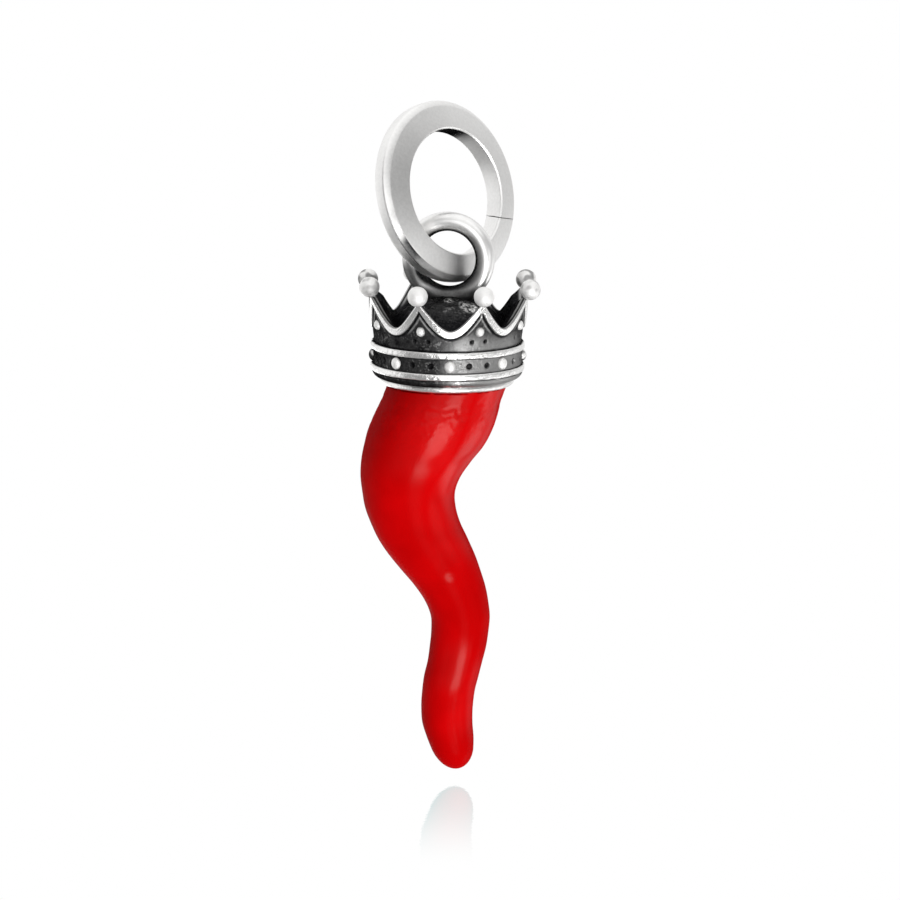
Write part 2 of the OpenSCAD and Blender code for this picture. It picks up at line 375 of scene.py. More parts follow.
class Turning:
    """A section turned about Z whose vertices remember their row, so that they can be moved together."""

    def __init__(self, section: Sequence[tuple[float, float]], steps: int, closed: bool = False,
                 sweep: float = FULL_TURN, start: float = 0.0) -> None:
        """Turns the section.

        Args:
            section: Radius and height of each row, in millimetres.
            steps: Number of steps round the axis, a multiple of eight.
            closed: Whether the last row joins the first.
            sweep: Angle of the turning.
            start: Angle of its first copy.
        """
        self.section = np.array(section, dtype=float)
        self.start, self.step = start, sweep / steps
        self.bm = bmesh.new()
        self.row_layer = self.bm.verts.layers.int.new("row")
        self.polish_layer = self.bm.verts.layers.float.new("polish")
        a = math.radians(start)
        line = [self.bm.verts.new((r * math.sin(a), -r * math.cos(a), z)) for r, z in section]
        for i, v in enumerate(line):
            v[self.row_layer] = i
        ends = line[1:] + line[:1] if closed else line[1:]
        edges = [self.bm.edges.new(pair) for pair in zip(line, ends)]
        bmesh.ops.spin(self.bm, geom=[*line, *edges], axis=(0, 0, 1), cent=(0, 0, 0),
                       angle=math.radians(sweep / SECTORS), steps=steps // SECTORS,
                       use_merge=False, use_duplicate=False)
        done = 1
        while done < SECTORS:
            whole = [*self.bm.verts, *self.bm.edges, *self.bm.faces]
            copied = bmesh.ops.duplicate(self.bm, geom=whole)["geom"]
            bmesh.ops.rotate(self.bm, verts=[g for g in copied if isinstance(g, bmesh.types.BMVert)],
                             cent=(0, 0, 0), matrix=about_z(sweep / SECTORS * done))
            done *= 2
        bmesh.ops.remove_doubles(self.bm, verts=self.bm.verts, dist=MERGE)
        if sweep < FULL_TURN:
            bmesh.ops.holes_fill(self.bm, edges=[e for e in self.bm.edges if e.is_boundary], sides=0)
        self.read()

    def read(self) -> None:
        """Reads rows and angles from the mesh and sets each vertex exactly on its row and its step."""
        self.bm.verts.ensure_lookup_table()
        points = np.array([v.co for v in self.bm.verts])
        self.rows = np.array([v[self.row_layer] for v in self.bm.verts])
        turned = np.degrees(np.arctan2(points[:, 0], -points[:, 1])) - self.start
        self.angle = wrapped(self.start + np.round(turned / self.step) * self.step)
        self.radius, self.height = self.section[self.rows].T
        self.place(self.radius, self.height)

    def place(self, radius: np.ndarray, height: np.ndarray) -> None:
        """Moves each vertex to a radius and height at its own angle."""
        a = np.radians(self.angle)
        self.points = np.stack([radius * np.sin(a), -radius * np.cos(a), height], axis=1)

    def write(self, polish: np.ndarray) -> bmesh.types.BMesh:
        """Writes places and polish back to the mesh.

        Args:
            polish: Polish of each vertex between 0 and 1.

        Returns:
            The mesh.
        """
        for v, p, shine in zip(self.bm.verts, self.points, polish):
            v.co = p
            v[self.polish_layer] = float(shine)
        return self.bm


def finish_piece(bm: bmesh.types.BMesh, name: str, matrix: Matrix, material: bpy.types.Material,
                 body: Body, node: str) -> bpy.types.Object:
    """Makes a mesh a piece of the pendant.

    Args:
        bm: Mesh in millimetres.
        name: Name of the piece.
        matrix: Matrix to the frame's metres.
        material: Finish of the piece.
        body: Body that it rides on.
        node: CAD node that it stands for.

    Returns:
        The new object.
    """
    bmesh.ops.recalc_face_normals(bm, faces=bm.faces)
    bm.transform(matrix)
    for face in bm.faces:
        face.smooth = True
    mesh = bpy.data.meshes.new(name)
    bm.to_mesh(mesh)
    bm.free()
    mesh.materials.append(material)
    piece = bpy.data.objects.new(name, mesh)
    bpy.context.scene.collection.objects.link(piece)
    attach(piece, body.value)
    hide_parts(node)
    log.info("%s: %d faces on %s", name, len(mesh.polygons), body.value)
    return piece


def rounded(corners: Sequence[tuple[float, float, float]], segments: int = 4) -> list[tuple[float, float]]:
    """Rounds the corners of a closed section.

    Args:
        corners: Radius, height and rounding of each corner.
        segments: Steps of each rounding.

    Returns:
        The section's points.
    """
    points = []
    for i, (x, y, size) in enumerate(corners):
        here = np.array([x, y])
        before = np.array(corners[i - 1][:2]) - here
        after = np.array(corners[(i + 1) % len(corners)][:2]) - here
        start = here + before / np.linalg.norm(before) * size
        end = here + after / np.linalg.norm(after) * size
        for k in range(segments + 1):
            t = k / segments
            points.append(tuple((1 - t) ** 2 * start + 2 * t * (1 - t) * here + t ** 2 * end))
    return points


@dataclass
class CharmRing:
    """The thick ring: a square back, a face that falls to a bevelled rim, and one seam."""

    place: Place
    outer: float = 13.7
    bore: float = 9.44
    bore_drop: float = 0.14
    thick: float = 1.7
    fall: float = 0.4
    rim_bevel: float = 0.4
    rim_round: float = 0.1
    face_round: float = 0.07
    bore_bevel: float = 0.14
    bore_round: float = 0.05
    # width and height of the bevel on the ring's back
    back_bevel: tuple = (0.06, 0.3)
    seam: float = 0.07
    seam_at: float = 59.0
    seam_zone: float = 9.0
    seam_lean: float = 5.5
    seam_twist: float = 5.8
    steps: int = 320
    # polish of the bare metal, what the face and the seam lose of it, and how much darker the bore's top
    # is;
    # the painted shade on the face's shaded side, and the angle where it is deepest
    bright: float = 0.97
    face_loss: float = 0.07
    painted_face_shade: float = 0.3
    shade_at: float = -108.0
    top_loss: float = 0.96
    top_at: float = 172.0
    top_fade: tuple = (42.0, 12.0)
    seam_loss: float = 0.95
    # middle, half width and strength of the painted shade on stretches of the bevel
    painted_bevel_shade: tuple = ((-49.0, 15.0, 0.6), (-53.0, 9.0, 0.24), (-72.0, 11.0, 0.16))

    def section(self) -> list[tuple[float, float]]:
        """Lays the section out.

        Returns:
            Its points, rounded at its corners.
        """
        rim, bore, half = self.outer / 2, self.bore / 2, self.thick / 2
        front = half - self.fall
        back_in, back_up = self.back_bevel
        return rounded([
            (bore, -half + self.bore_bevel, self.bore_round),
            (bore + self.bore_bevel, -half, self.bore_round),
            (rim - back_in, -half, back_in),
            (rim, -half + back_up, self.rim_round),
            (rim, front - self.rim_bevel, self.rim_round),
            (rim - self.rim_bevel, front, self.face_round),
            (bore + self.bore_bevel, half, self.bore_round),
            (bore, half - self.bore_bevel, self.bore_round),
        ])

    def _polish(self, turned: Turning, angle: np.ndarray) -> np.ndarray:
        """Works out how bright the ring is, with painted shade on the face's shaded side and on stretches
        of the bevel.

        Args:
            turned: The ring's turning, with its seam set.
            angle: Angle of each vertex before the seam was set.

        Returns:
            The polish of each vertex.
        """
        rim, bore, half = self.outer / 2, self.bore / 2, self.thick / 2
        radius, height = turned.radius, turned.height
        slope = self.fall / (rim - self.rim_bevel - bore)
        under_face = half - slope * (radius - bore) - height
        on_face = smooth(0.1, 0.02, under_face) * (radius < rim - self.rim_bevel + 0.05)
        shade = 0.5 + 0.5 * np.cos(np.radians(angle - self.shade_at))
        # painted shade: the face is darker towards its shaded side
        polish = self.bright - on_face * (self.face_loss + self.painted_face_shade * shade ** 5)
        on_top = smooth(*self.top_fade, np.abs(np.abs(angle) - self.top_at)) * (height > 0.1 - half)
        polish -= self.top_loss * on_top * smooth(0.05, 0.0, radius - bore)
        on_bevel = (radius > rim - self.rim_bevel) & (height > 0)
        # painted shade: the bevel is dimmed on these stretches, where it would reflect the dark crown below
        for middle, reach, shade_depth in self.painted_bevel_shade:
            polish -= shade_depth * on_bevel * smooth(reach * 1.5, reach * 0.5, np.abs(angle - middle))
        return polish + 0.02 * wobble(turned.points, 1.4)

    def build(self, finish: Silver) -> bpy.types.Object:
        """Builds the ring's mesh.

        Args:
            finish: Finish of the ring.

        Returns:
            The piece.
        """
        gap = math.degrees(self.seam / ((self.outer + self.bore) / 4))
        turned = Turning(self.section(), self.steps, closed=True, sweep=FULL_TURN - gap,
                         start=self.seam_at + gap / 2)
        rim, bore, angle = self.outer / 2, self.bore / 2, turned.angle
        share = np.clip((rim - turned.radius) / (rim - bore), 0.0, 1.0)
        past = wrapped(angle - self.seam_at)
        away = np.abs(past) - gap / 2
        near = np.clip(away / self.seam_zone, 0.0, 1.0)
        lean = self.seam_lean * (1 - share) + self.seam_twist * (0.5 - turned.height / self.thick)
        turned.angle = self.seam_at + np.sign(past) * (gap / 2 + away * near ** 0.7) + lean * (1 - near)
        turned.place(turned.radius, turned.height)
        turned.points[:, 1] -= self.bore_drop * share
        polish = self._polish(turned, angle) - self.seam_loss * (away < 0.1)
        return finish_piece(turned.write(np.clip(polish, 0, 1)), "ring_band", self.place.ring(),
                            finish.material(), Body.RING, "charm_ring")


@dataclass
class Crown:
    """Sizes that the cap's pieces share, and the outline of its eight points."""

    ridge_low: float = 1.08
    ridge_step: float = 0.14
    ridge_h: float = 0.54
    band_h: float = 1.08
    ridge_d: float = 11.56
    band_depth: float = 0.2
    socket_d: float = 8.2
    socket_depth: float = 2.6
    lip_d: float = 10.0
    lip_h: float = 0.46
    points: int = 8
    turn: float = 2.0
    wall_d: float = 11.05
    wall_t: float = 0.95
    valley_rise: float = 1.6
    point_rise: float = 2.7
    ball_circle: float = 12.86
    ball_d: float = 1.52
    tip_half: float = 0.22
    valley_round: float = 0.4
    border_w: float = 0.56
    border_h: float = 0.12
    border_fade: float = 0.4
    ball_seat: float = 0.9
    flare: float = 1.4
    dome_rise: float = 1.9

    @property
    def ridge_high(self) -> float:
        """Foot of the upper ridge."""
        return self.ridge_low + self.ridge_h + self.band_h

    @property
    def band_mid(self) -> float:
        """Middle height of the sunk band."""
        return self.ridge_low + self.ridge_h + self.band_h / 2

    @property
    def band_r(self) -> float:
        """Radius of the sunk band."""
        return self.ridge_d / 2 - self.band_depth

    @property
    def wall_z(self) -> float:
        """Foot of the wall, on top of the upper ridge."""
        return self.ridge_high + self.ridge_h

    @property
    def valley_z(self) -> float:
        """Lowest place between two points."""
        return self.wall_z + self.valley_rise

    @property
    def ball_z(self) -> float:
        """Height of the balls' centres."""
        return self.valley_z + self.point_rise

    @property
    def dome_z(self) -> float:
        """Top of the dome."""
        return self.valley_z + self.dome_rise

    @property
    def pitch(self) -> float:
        """Angle from one point to the next."""
        return 360.0 / self.points

    def wall_r(self, z: np.ndarray) -> np.ndarray:
        """Outer radius of the wall at a height."""
        share = np.clip((z - self.wall_z) / (self.ball_z - self.wall_z), 0.0, 2.0)
        return self.wall_d / 2 + (self.ball_circle - self.wall_d) / 2 * share ** self.flare

    def edge(self, count: int = 160) -> tuple[np.ndarray, np.ndarray, np.ndarray]:
        """Half of the opening between two points.

        Args:
            count: Number of places on it.

        Returns:
            The share across it, the sideways distance and the height at each place.
        """
        t = np.linspace(0.0, 1.0, count)
        half = self.ball_circle / 2 * math.sin(math.radians(self.pitch / 2)) - self.tip_half
        top = self.point_rise - self.ball_d / 2 * self.ball_seat
        k = self.valley_round
        rise = (np.sqrt(k * k + t * t) - k) / (math.sqrt(k * k + 1) - k)
        return t, t * half, self.valley_z + top * rise

    def from_valley(self, angle: np.ndarray) -> np.ndarray:
        """Angle from the nearest valley."""
        return wrapped(angle - self.turn, self.pitch)

    def from_point(self, angle: np.ndarray) -> np.ndarray:
        """Angle from the nearest point's middle."""
        return wrapped(angle - self.turn - self.pitch / 2, self.pitch)


@dataclass
class CapPiece:
    """What each piece of the cap shares: the place, the crown's sizes, and the node that it stands for."""

    place: Place
    crown: Crown

    def piece(self, bm: bmesh.types.BMesh, name: str, material: bpy.types.Material) -> bpy.types.Object:
        """Makes a mesh one of the cap's pieces."""
        return finish_piece(bm, name, self.place.crown(), material, Body.PENDANT, "crown_cap")


@dataclass
class Collar(CapPiece):
    """The cap's base: rolled lip, dark bowl, two polished ridges and the sunk band with its pits."""

    pit_d: float = 0.5
    pit_depth: float = 0.2
    steps: int = 760
    bowl_rows: int = 12
    band_rows: int = 22
    # rolled lip: inset from its widest place, and height
    lip_line: tuple = ((0.42, 0.0), (0.26, 0.015), (0.13, 0.06), (0.04, 0.14), (0.0, 0.24),
                       (0.01, 0.34), (0.05, 0.42), (0.06, 0.48), (0.03, 0.5))
    # rounded edge of a ridge: inset, and distance from its foot or its top
    ridge_line: tuple = ((0.05, 0.02), (0.015, 0.06))
    ridge_shares: tuple = (0.25, 0.4, 0.5, 0.6, 0.75)
    # polish of the bowl and of the band, and the painted sheen that each gains on the lit side
    bowl_polish: float = 0.035
    band_polish: float = 0.04
    bowl_lit_sheen: float = 0.32
    band_lit_sheen: float = 0.27
    # angles of the lit side that gets the painted sheen, and middle and gain of the painted highlight on
    # the bowl
    lit_rise: tuple = (-12.0, 14.0)
    lit_fall: tuple = (60.0, 110.0)
    bowl_highlight_at: float = 7.0
    bowl_highlight_gain: float = 0.5
    pit_loss: float = 0.95

    def _ridge(self, foot: float, inner: float, outer: float) -> list[tuple[float, float]]:
        """Lays out one ridge.

        Args:
            foot: Height of its foot.
            inner: Radius of what lies under it.
            outer: Radius of what lies on it.

        Returns:
            Its points from below.
        """
        ridge, tall = self.crown.ridge_d / 2, self.crown.ridge_h
        points = [(inner + 0.03, foot + 0.01)]
        points += [(ridge - inset, foot + up) for inset, up in self.ridge_line]
        points += [(ridge, foot + tall * share) for share in self.ridge_shares]
        points += [(ridge - inset, foot + tall - down) for inset, down in reversed(self.ridge_line)]
        return points + [(outer + 0.03, foot + tall - 0.01)]

    def section(self) -> list[tuple[float, float]]:
        """Lays the section out.

        Returns:
            Its points from the socket, round the outside and back.
        """
        c = self.crown
        socket, wall, top = c.socket_d / 2, c.wall_d / 2, c.wall_z
        points = [(socket, 0.02)] + [(c.lip_d / 2 - inset, up) for inset, up in self.lip_line]
        bowl_in, bowl_foot = points[-1]
        bowl_out = c.ridge_d / 2 - c.ridge_step
        for k in range(1, self.bowl_rows + 1):
            a = math.radians(90 * k / self.bowl_rows)
            points.append((bowl_in + (bowl_out - bowl_in) * math.sin(a),
                           bowl_foot + (c.ridge_low - bowl_foot) * (1 - math.cos(a))))
        points += self._ridge(c.ridge_low, bowl_out, c.band_r)
        band_half = c.band_h / 2 - 0.04
        points += [(c.band_r, c.band_mid + band_half * s) for s in np.linspace(-1, 1, self.band_rows)]
        points += self._ridge(c.ridge_high, c.band_r, wall)
        points += [(wall - 0.3, top), (wall - 1.1, top), (socket, top - 0.3), (socket, c.socket_depth)]
        return points

    def _band(self, turned: Turning) -> tuple[np.ndarray, np.ndarray]:
        """Finds the sunk band and the pits drilled in it.

        Args:
            turned: The collar's turning.

        Returns:
            Share of each vertex on the band, and in a pit.
        """
        c = self.crown
        up = turned.height - c.band_mid
        on_band = smooth(c.band_h / 2, c.band_h / 2 - 0.06, np.abs(up))
        on_band *= np.abs(turned.radius - c.band_r) < 0.02
        pits = np.zeros_like(up)
        for side in (-1.0, 1.0):
            away = np.radians(c.from_valley(turned.angle + side * c.pitch / 3)) * turned.radius
            pits = np.maximum(pits, smooth(self.pit_d / 2, self.pit_d / 3, np.hypot(away, up)))
        return on_band, pits * on_band

    def build(self, finish: Silver) -> bpy.types.Object:
        """Builds the collar.

        Args:
            finish: Finish of the collar.

        Returns:
            The piece.
        """
        c = self.crown
        turned = Turning(self.section(), self.steps, closed=True)
        lip, ridge = c.lip_d / 2, c.ridge_d / 2
        edge_noise, fine_noise = wobble(turned.points, 0.9, 3.0), wobble(turned.points, 0.32, 9.0)
        on_ridge = smooth(ridge - c.band_depth * 0.8, ridge - 0.02, turned.radius)
        middle = np.where(turned.height < c.band_mid, c.ridge_low, c.ridge_high) + c.ridge_h / 2
        waver = 0.09 * edge_noise + 0.07 * fine_noise
        height = turned.height + on_ridge * (turned.height - middle) * waver
        off = height - middle
        radius = turned.radius - on_ridge * np.abs(0.03 * edge_noise + 0.02 * fine_noise)
        radius -= on_ridge * 0.05 * (off / (c.ridge_h / 2)) ** 2
        on_band, pits = self._band(turned)
        radius += 0.012 * on_band * fine_noise - self.pit_depth * pits
        on_lip = smooth(c.lip_h + 0.03, c.lip_h - 0.06, height)
        on_lip *= smooth(lip - 0.3, lip - 0.1, turned.radius)
        radius += on_lip * 0.02 * edge_noise
        turned.place(radius, height)
        outside = turned.radius > lip - 0.5
        polish = np.clip(np.maximum(on_ridge * smooth(0.27, 0.2, np.abs(off)), on_lip), 0, 1) * outside
        # painted sheen on the lit side, from the front round to the right
        lit = within(turned.angle, self.lit_rise, self.lit_fall)
        # a speckled painted highlight on the front of the bowl
        bowl_highlight = smooth(12.0, 4.0, np.abs(turned.angle - self.bowl_highlight_at)) * smooth(-0.2, 0.6, fine_noise)
        in_bowl = (height > c.lip_h + 0.05) & (height < c.ridge_low) & outside
        bowl = self.bowl_polish + self.bowl_lit_sheen * lit + self.bowl_highlight_gain * bowl_highlight
        polish = np.where(in_bowl, bowl, polish)
        band = on_band * (self.band_polish + self.band_lit_sheen * lit + 0.02 * edge_noise)
        polish = np.maximum(polish, band) * (1 - self.pit_loss * pits)
        return self.piece(turned.write(np.clip(polish, 0, 1)), "cap_collar", finish.material())


@dataclass
class WallMarks:
    """Shares, at each vertex, of what stands out of the wall's outside or is cut into it."""

    raised: np.ndarray
    second: np.ndarray
    groove: np.ndarray
    sliver: np.ndarray
    pits: np.ndarray


@dataclass
class CrownWall(CapPiece):
    """The flaring wall with its eight points, their raised borders, cut faces and pits."""

    pit_d: float = 0.4
    pit_depth: float = 0.15
    pit_turn: float = 5.6
    pit_share: float = 0.46
    foot_drop: float = 0.12
    inner_fall: float = 0.22
    outer_rows: int = 54
    rim_rows: int = 14
    inner_rows: int = 8
    steps: int = 1080
    # distance of the fine second line and of the groove from the border, and the width of both
    second_off: float = 0.24
    groove_off: float = 0.08
    line_w: float = 0.07
    # height over the valleys of the upright sliver on the point right of the front
    sliver_rise: float = 1.35
    # polish of the black wall, and the painted sheen that its foot gains on the lit side, between these
    # angles
    wall_polish: float = 0.045
    foot_lit_sheen: float = 0.27
    lit_rise: tuple = (-8.0, 22.0)
    lit_fall: tuple = (55.0, 100.0)
    # what the grooves and the pits lose, and how bright the borders' edges and the fine line are
    groove_loss: float = 0.9
    pit_loss: float = 0.95
    cut_edge: float = 0.85
    second_polish: float = 0.36

    def top(self, away: np.ndarray, depth: np.ndarray) -> np.ndarray:
        """Height of the cut face.

        Args:
            away: Angle from the nearest valley, in degrees.
            depth: Share of the wall's thickness from outside to inside.

        Returns:
            The height of the cut at each place.
        """
        _, side, z = self.crown.edge()
        result = np.zeros_like(away)
        for level in np.unique(depth):
            pick = depth == level
            reach = self.crown.wall_r(z) - level * self.crown.wall_t
            angles = np.degrees(np.arcsin(np.clip(side / reach, -1, 1)))
            result[pick] = np.interp(np.abs(away[pick]), angles, z)
        return result

    def edge_distance(self, away: np.ndarray, height: np.ndarray) -> tuple[np.ndarray, np.ndarray]:
        """Distance along the wall to the opening's edge.

        Args:
            away: Angle from the nearest valley, in degrees.
            height: Height of each place.

        Returns:
            The distance, and the share across the opening of the nearest place on its edge.
        """
        share, side, z = self.crown.edge(240)
        across = np.abs(np.sin(np.radians(away))) * self.crown.wall_r(height)
        gap = np.hypot(across[:, None] - side[None, :], height[:, None] - z[None, :])
        near = gap.argmin(axis=1)
        return gap[np.arange(len(near)), near], share[near]

    def _marks(self, turned: Turning, near: np.ndarray, share: np.ndarray, height: np.ndarray) -> WallMarks:
        """Finds the borders, the fine line beside them, the sliver and the pits.

        Args:
            turned: The wall's turning.
            near: Distance of each vertex from the opening's edge.
            share: Share across the opening of the nearest place on its edge.
            height: Height of each vertex.

        Returns:
            The marks.
        """
        c = self.crown
        width = c.border_w * (1.04 - c.border_fade * share ** 2)
        raised = smooth(width + 0.05, width - 0.07, near) - 0.55 * smooth(0.1, 0.0, near)
        second = bell(near - width - self.second_off, self.line_w) * smooth(0.2, 0.45, share)
        groove = bell(near - width - self.groove_off, self.line_w)
        beside = np.radians(turned.angle - c.turn - c.pitch / 2) * c.ball_circle / 2
        above = height - c.valley_z - self.sliver_rise
        sliver = smooth(0.13, 0.04, np.abs(beside)) * smooth(0.42, 0.2, np.abs(above))
        up = height - (c.wall_z + c.valley_rise * self.pit_share)
        pits = np.zeros_like(height)
        for side in (-1.0, 1.0):
            across = np.radians(c.from_point(turned.angle) + side * self.pit_turn) * c.wall_d / 2
            pits = np.maximum(pits, smooth(self.pit_d / 2, self.pit_d / 4, np.hypot(across, up)))
        return WallMarks(raised, second, groove, sliver, pits)

    def _outer_polish(self, turned: Turning, marks: WallMarks, height: np.ndarray) -> np.ndarray:
        """Works out how bright the wall's outside is.

        Args:
            turned: The wall's turning, with its shape set.
            marks: What stands out of the wall or is cut into it.
            height: Height of each vertex.

        Returns:
            The polish of each vertex.
        """
        foot = self.crown.wall_z
        low = smooth(foot + 1.7, foot + 0.3, height)
        # painted sheen low on the wall: lighter on the lit side and at the front, mixed with random mottle
        lit = within(turned.angle, self.lit_rise, self.lit_fall)
        front = smooth(24.0, 6.0, np.abs(turned.angle - self.crown.turn))
        front_sheen_and_mottle = 0.03 * (front + wobble(turned.points, 0.7, 8.0))
        sheen = self.wall_polish + low * (self.foot_lit_sheen * lit + front_sheen_and_mottle)
        shine = np.maximum(smooth(0.35, 0.85, marks.raised), marks.sliver)
        shine += self.second_polish * marks.second
        shine = np.maximum(shine, sheen) * (1 - self.groove_loss * marks.groove * (1 - marks.raised))
        return shine * (1 - self.pit_loss * marks.pits) * (0.15 + 0.85 * smooth(0.02, 0.16, height - foot))

    def build(self, finish: Silver) -> bpy.types.Object:
        """Builds the wall: rows up the outside, over the cut face and down the inside.

        Args:
            finish: Finish of the wall.

        Returns:
            The piece.
        """
        c = self.crown
        total = self.outer_rows + self.rim_rows + self.inner_rows
        # stand-in rows, just far enough apart to stay single, which are all moved below
        start = [(c.wall_d / 2 - 0.001 * i, c.wall_z + 0.01 * i) for i in range(total)]
        turned = Turning(start, self.steps, closed=True)
        on_rim = turned.rows - self.outer_rows + 1
        down = (on_rim - self.rim_rows) / self.inner_rows
        parts = [on_rim < 1, (on_rim >= 1) & (on_rim <= self.rim_rows)]
        depth = np.round(np.select(parts, [np.zeros_like(down), on_rim / self.rim_rows], 1.0), 4)
        away = c.from_valley(turned.angle)
        top, foot = self.top(away, depth), c.wall_z - self.foot_drop
        up = 1 - np.clip(1 - turned.rows / (self.outer_rows - 1), 0, 1) ** 1.35
        height = np.select(parts, [foot + (top - foot) * up, top], top + (foot - top) * down)
        marks = self._marks(turned, *self.edge_distance(away, height), height)
        grain = wobble(turned.points + height[:, None] * np.array([0.0, 0.0, 1.0]), 0.28, 5.0)
        relief = c.border_h * np.maximum(marks.raised, 0.8 * marks.sliver)
        relief += 0.05 * (marks.second - marks.groove) + 0.01 * grain * (1 - marks.raised)
        inside = c.wall_r(height) - c.wall_t * depth
        lip = c.border_h * 0.45 * (1 - depth)
        radius = np.select(parts, [inside + relief - self.pit_depth * marks.pits, inside + lip], inside)
        fall = self.inner_fall * depth ** 1.5 - 0.05 * np.sin(np.pi * np.clip(depth * 1.6, 0, 1))
        height = np.select(parts, [height, height - fall], height - self.inner_fall * (1 - down))
        turned.place(radius, height)
        # a painted highlight line along the middle of each cut face, towards the points
        cut_highlight = 0.4 * bell(depth - 0.38, 0.08) * smooth(0.2, 0.6, np.abs(away) / (c.pitch / 2))
        cut = self.cut_edge * smooth(0.14, 0.02, depth) + 0.025 * (1 - depth) + cut_highlight
        # the inside is black, with a painted sheen on its left side
        back = 0.012 + 0.04 * smooth(0.0, -60.0, turned.angle)
        polish = np.select(parts, [self._outer_polish(turned, marks, height), cut], back)
        return self.piece(turned.write(np.clip(polish, 0, 1)), "cap_points", finish.material())


@dataclass
class Dome(CapPiece):
    """The blackened dome inside the crown that the wire loop stands on."""

    steps: int = 216
    rings: int = 60
    skirt: float = 0.3
    # place, size and strength of the speckled painted highlights on the dome, and how far they stand up
    painted_glints: tuple = ((1.55, -1.95, 6.2, 0.9, 2.4), (0.1, -1.5, 6.5, 0.5, 1.3))
    glint_lift: float = 0.03

    def build(self, finish: Silver) -> bpy.types.Object:
        """Builds the dome.

        Args:
            finish: Finish of the dome.

        Returns:
            The piece.
        """
        c = self.crown
        base = c.wall_d / 2 - c.wall_t / 2
        rise = c.dome_z - c.wall_z
        ball = (base * base + rise * rise) / (2 * rise)
        section = [(0.0, c.wall_z - self.skirt), (base, c.wall_z - self.skirt)]
        for k in range(self.rings + 1):
            a = math.asin(base / ball) * (1 - k / self.rings)
            section.append((ball * math.sin(a), c.dome_z - ball + ball * math.cos(a)))
        turned = Turning(section, self.steps)
        coarse, fine = wobble(turned.points, 0.55, 2.0), wobble(turned.points, 0.2, 7.0)
        on_top = smooth(c.wall_z, c.wall_z + 0.2, turned.height)
        turned.points[:, 2] += on_top * (0.02 * coarse + 0.018 * fine)
        polish = 0.05 * smooth(4.2, 2.4, turned.radius) * (1 + 0.5 * coarse)
        # speckled painted highlights on the dome, raised a little
        for x, y, z, size, shine in self.painted_glints:
            away = np.linalg.norm(turned.points - np.array([x, y, z]), axis=1)
            glint = smooth(size, size * 0.3, away) * smooth(-0.45, 0.35, fine)
            turned.points[:, 2] += self.glint_lift * glint
            polish += shine * glint
        return self.piece(turned.write(np.clip(polish, 0, 1)), "cap_dome", finish.material())


@dataclass
class WireLoop(CapPiece):
    """The round wire loop soldered on the dome, with painted shade inside and at its lower left, and a foot
    darkened by patina and painted shade.
    """

    hole: float = 4.16
    wire: float = 1.44
    sink: float = 0.8
    turn: float = -11.0
    steps: int = 184
    sides: int = 48
    # polish of the bare wire, the painted shade inside it and at its lower left, and the darkening of its
    # foot, which is patina and painted shade where it meets the dome
    bright: float = 0.97
    inside_shade: float = 0.96
    left_shade: float = 0.75
    foot_patina_and_shade: float = 0.8

    def build(self, finish: Silver) -> bpy.types.Object:
        """Builds the loop.

        Args:
            finish: Finish of the loop.

        Returns:
            The piece.
        """
        middle, thick = (self.hole + self.wire) / 2, self.wire / 2
        section = []
        for k in range(self.sides):
            a = math.tau * k / self.sides
            section.append((middle + thick * math.cos(a), thick * math.sin(a)))
        turned = Turning(section, self.steps, closed=True)
        inward = (middle - turned.radius) / thick
        x, up = turned.points[:, 0], -turned.points[:, 1]
        centre_z = self.crown.dome_z - self.sink + thick + middle
        turned.points = np.stack([x, -turned.height, up + centre_z], axis=1)
        # painted shade: a dark band on the wire's inner side, wider at the bottom and on the right, and a
        # darker lower left
        right = smooth(-0.5, 2.2, x) * smooth(2.6, 1.4, up)
        start = 0.45 - 0.6 * smooth(0.4, -2.6, up) - 0.65 * right
        inner_shade = smooth(0.0, 1.0, (inward - start) / (0.8 - start))
        low_left_shade = smooth(0.5, -1.0, up) * smooth(-1.2, -2.6, x)
        # dark at the foot where the wire meets the dome: patina and painted shade
        foot = smooth(-1.4, -2.5, up)
        polish = self.bright - np.maximum(self.inside_shade * inner_shade + self.left_shade * low_left_shade,
                                          self.foot_patina_and_shade * foot)
        polish -= 0.05 * np.clip(wobble(turned.points, 0.6, 4.0), 0, 1)
        bm = turned.write(np.clip(polish, 0.02, 1))
        bmesh.ops.rotate(bm, verts=bm.verts, cent=(0, 0, 0), matrix=about_z(self.turn))
        return self.piece(bm, "cap_loop", finish.material())


@dataclass(frozen=True)
class Bead:
    """One ball or stud: radius, height and angle of its middle, and half its width, depth and height."""

    out: float
    up: float
    angle: float
    half: tuple[float, float, float]


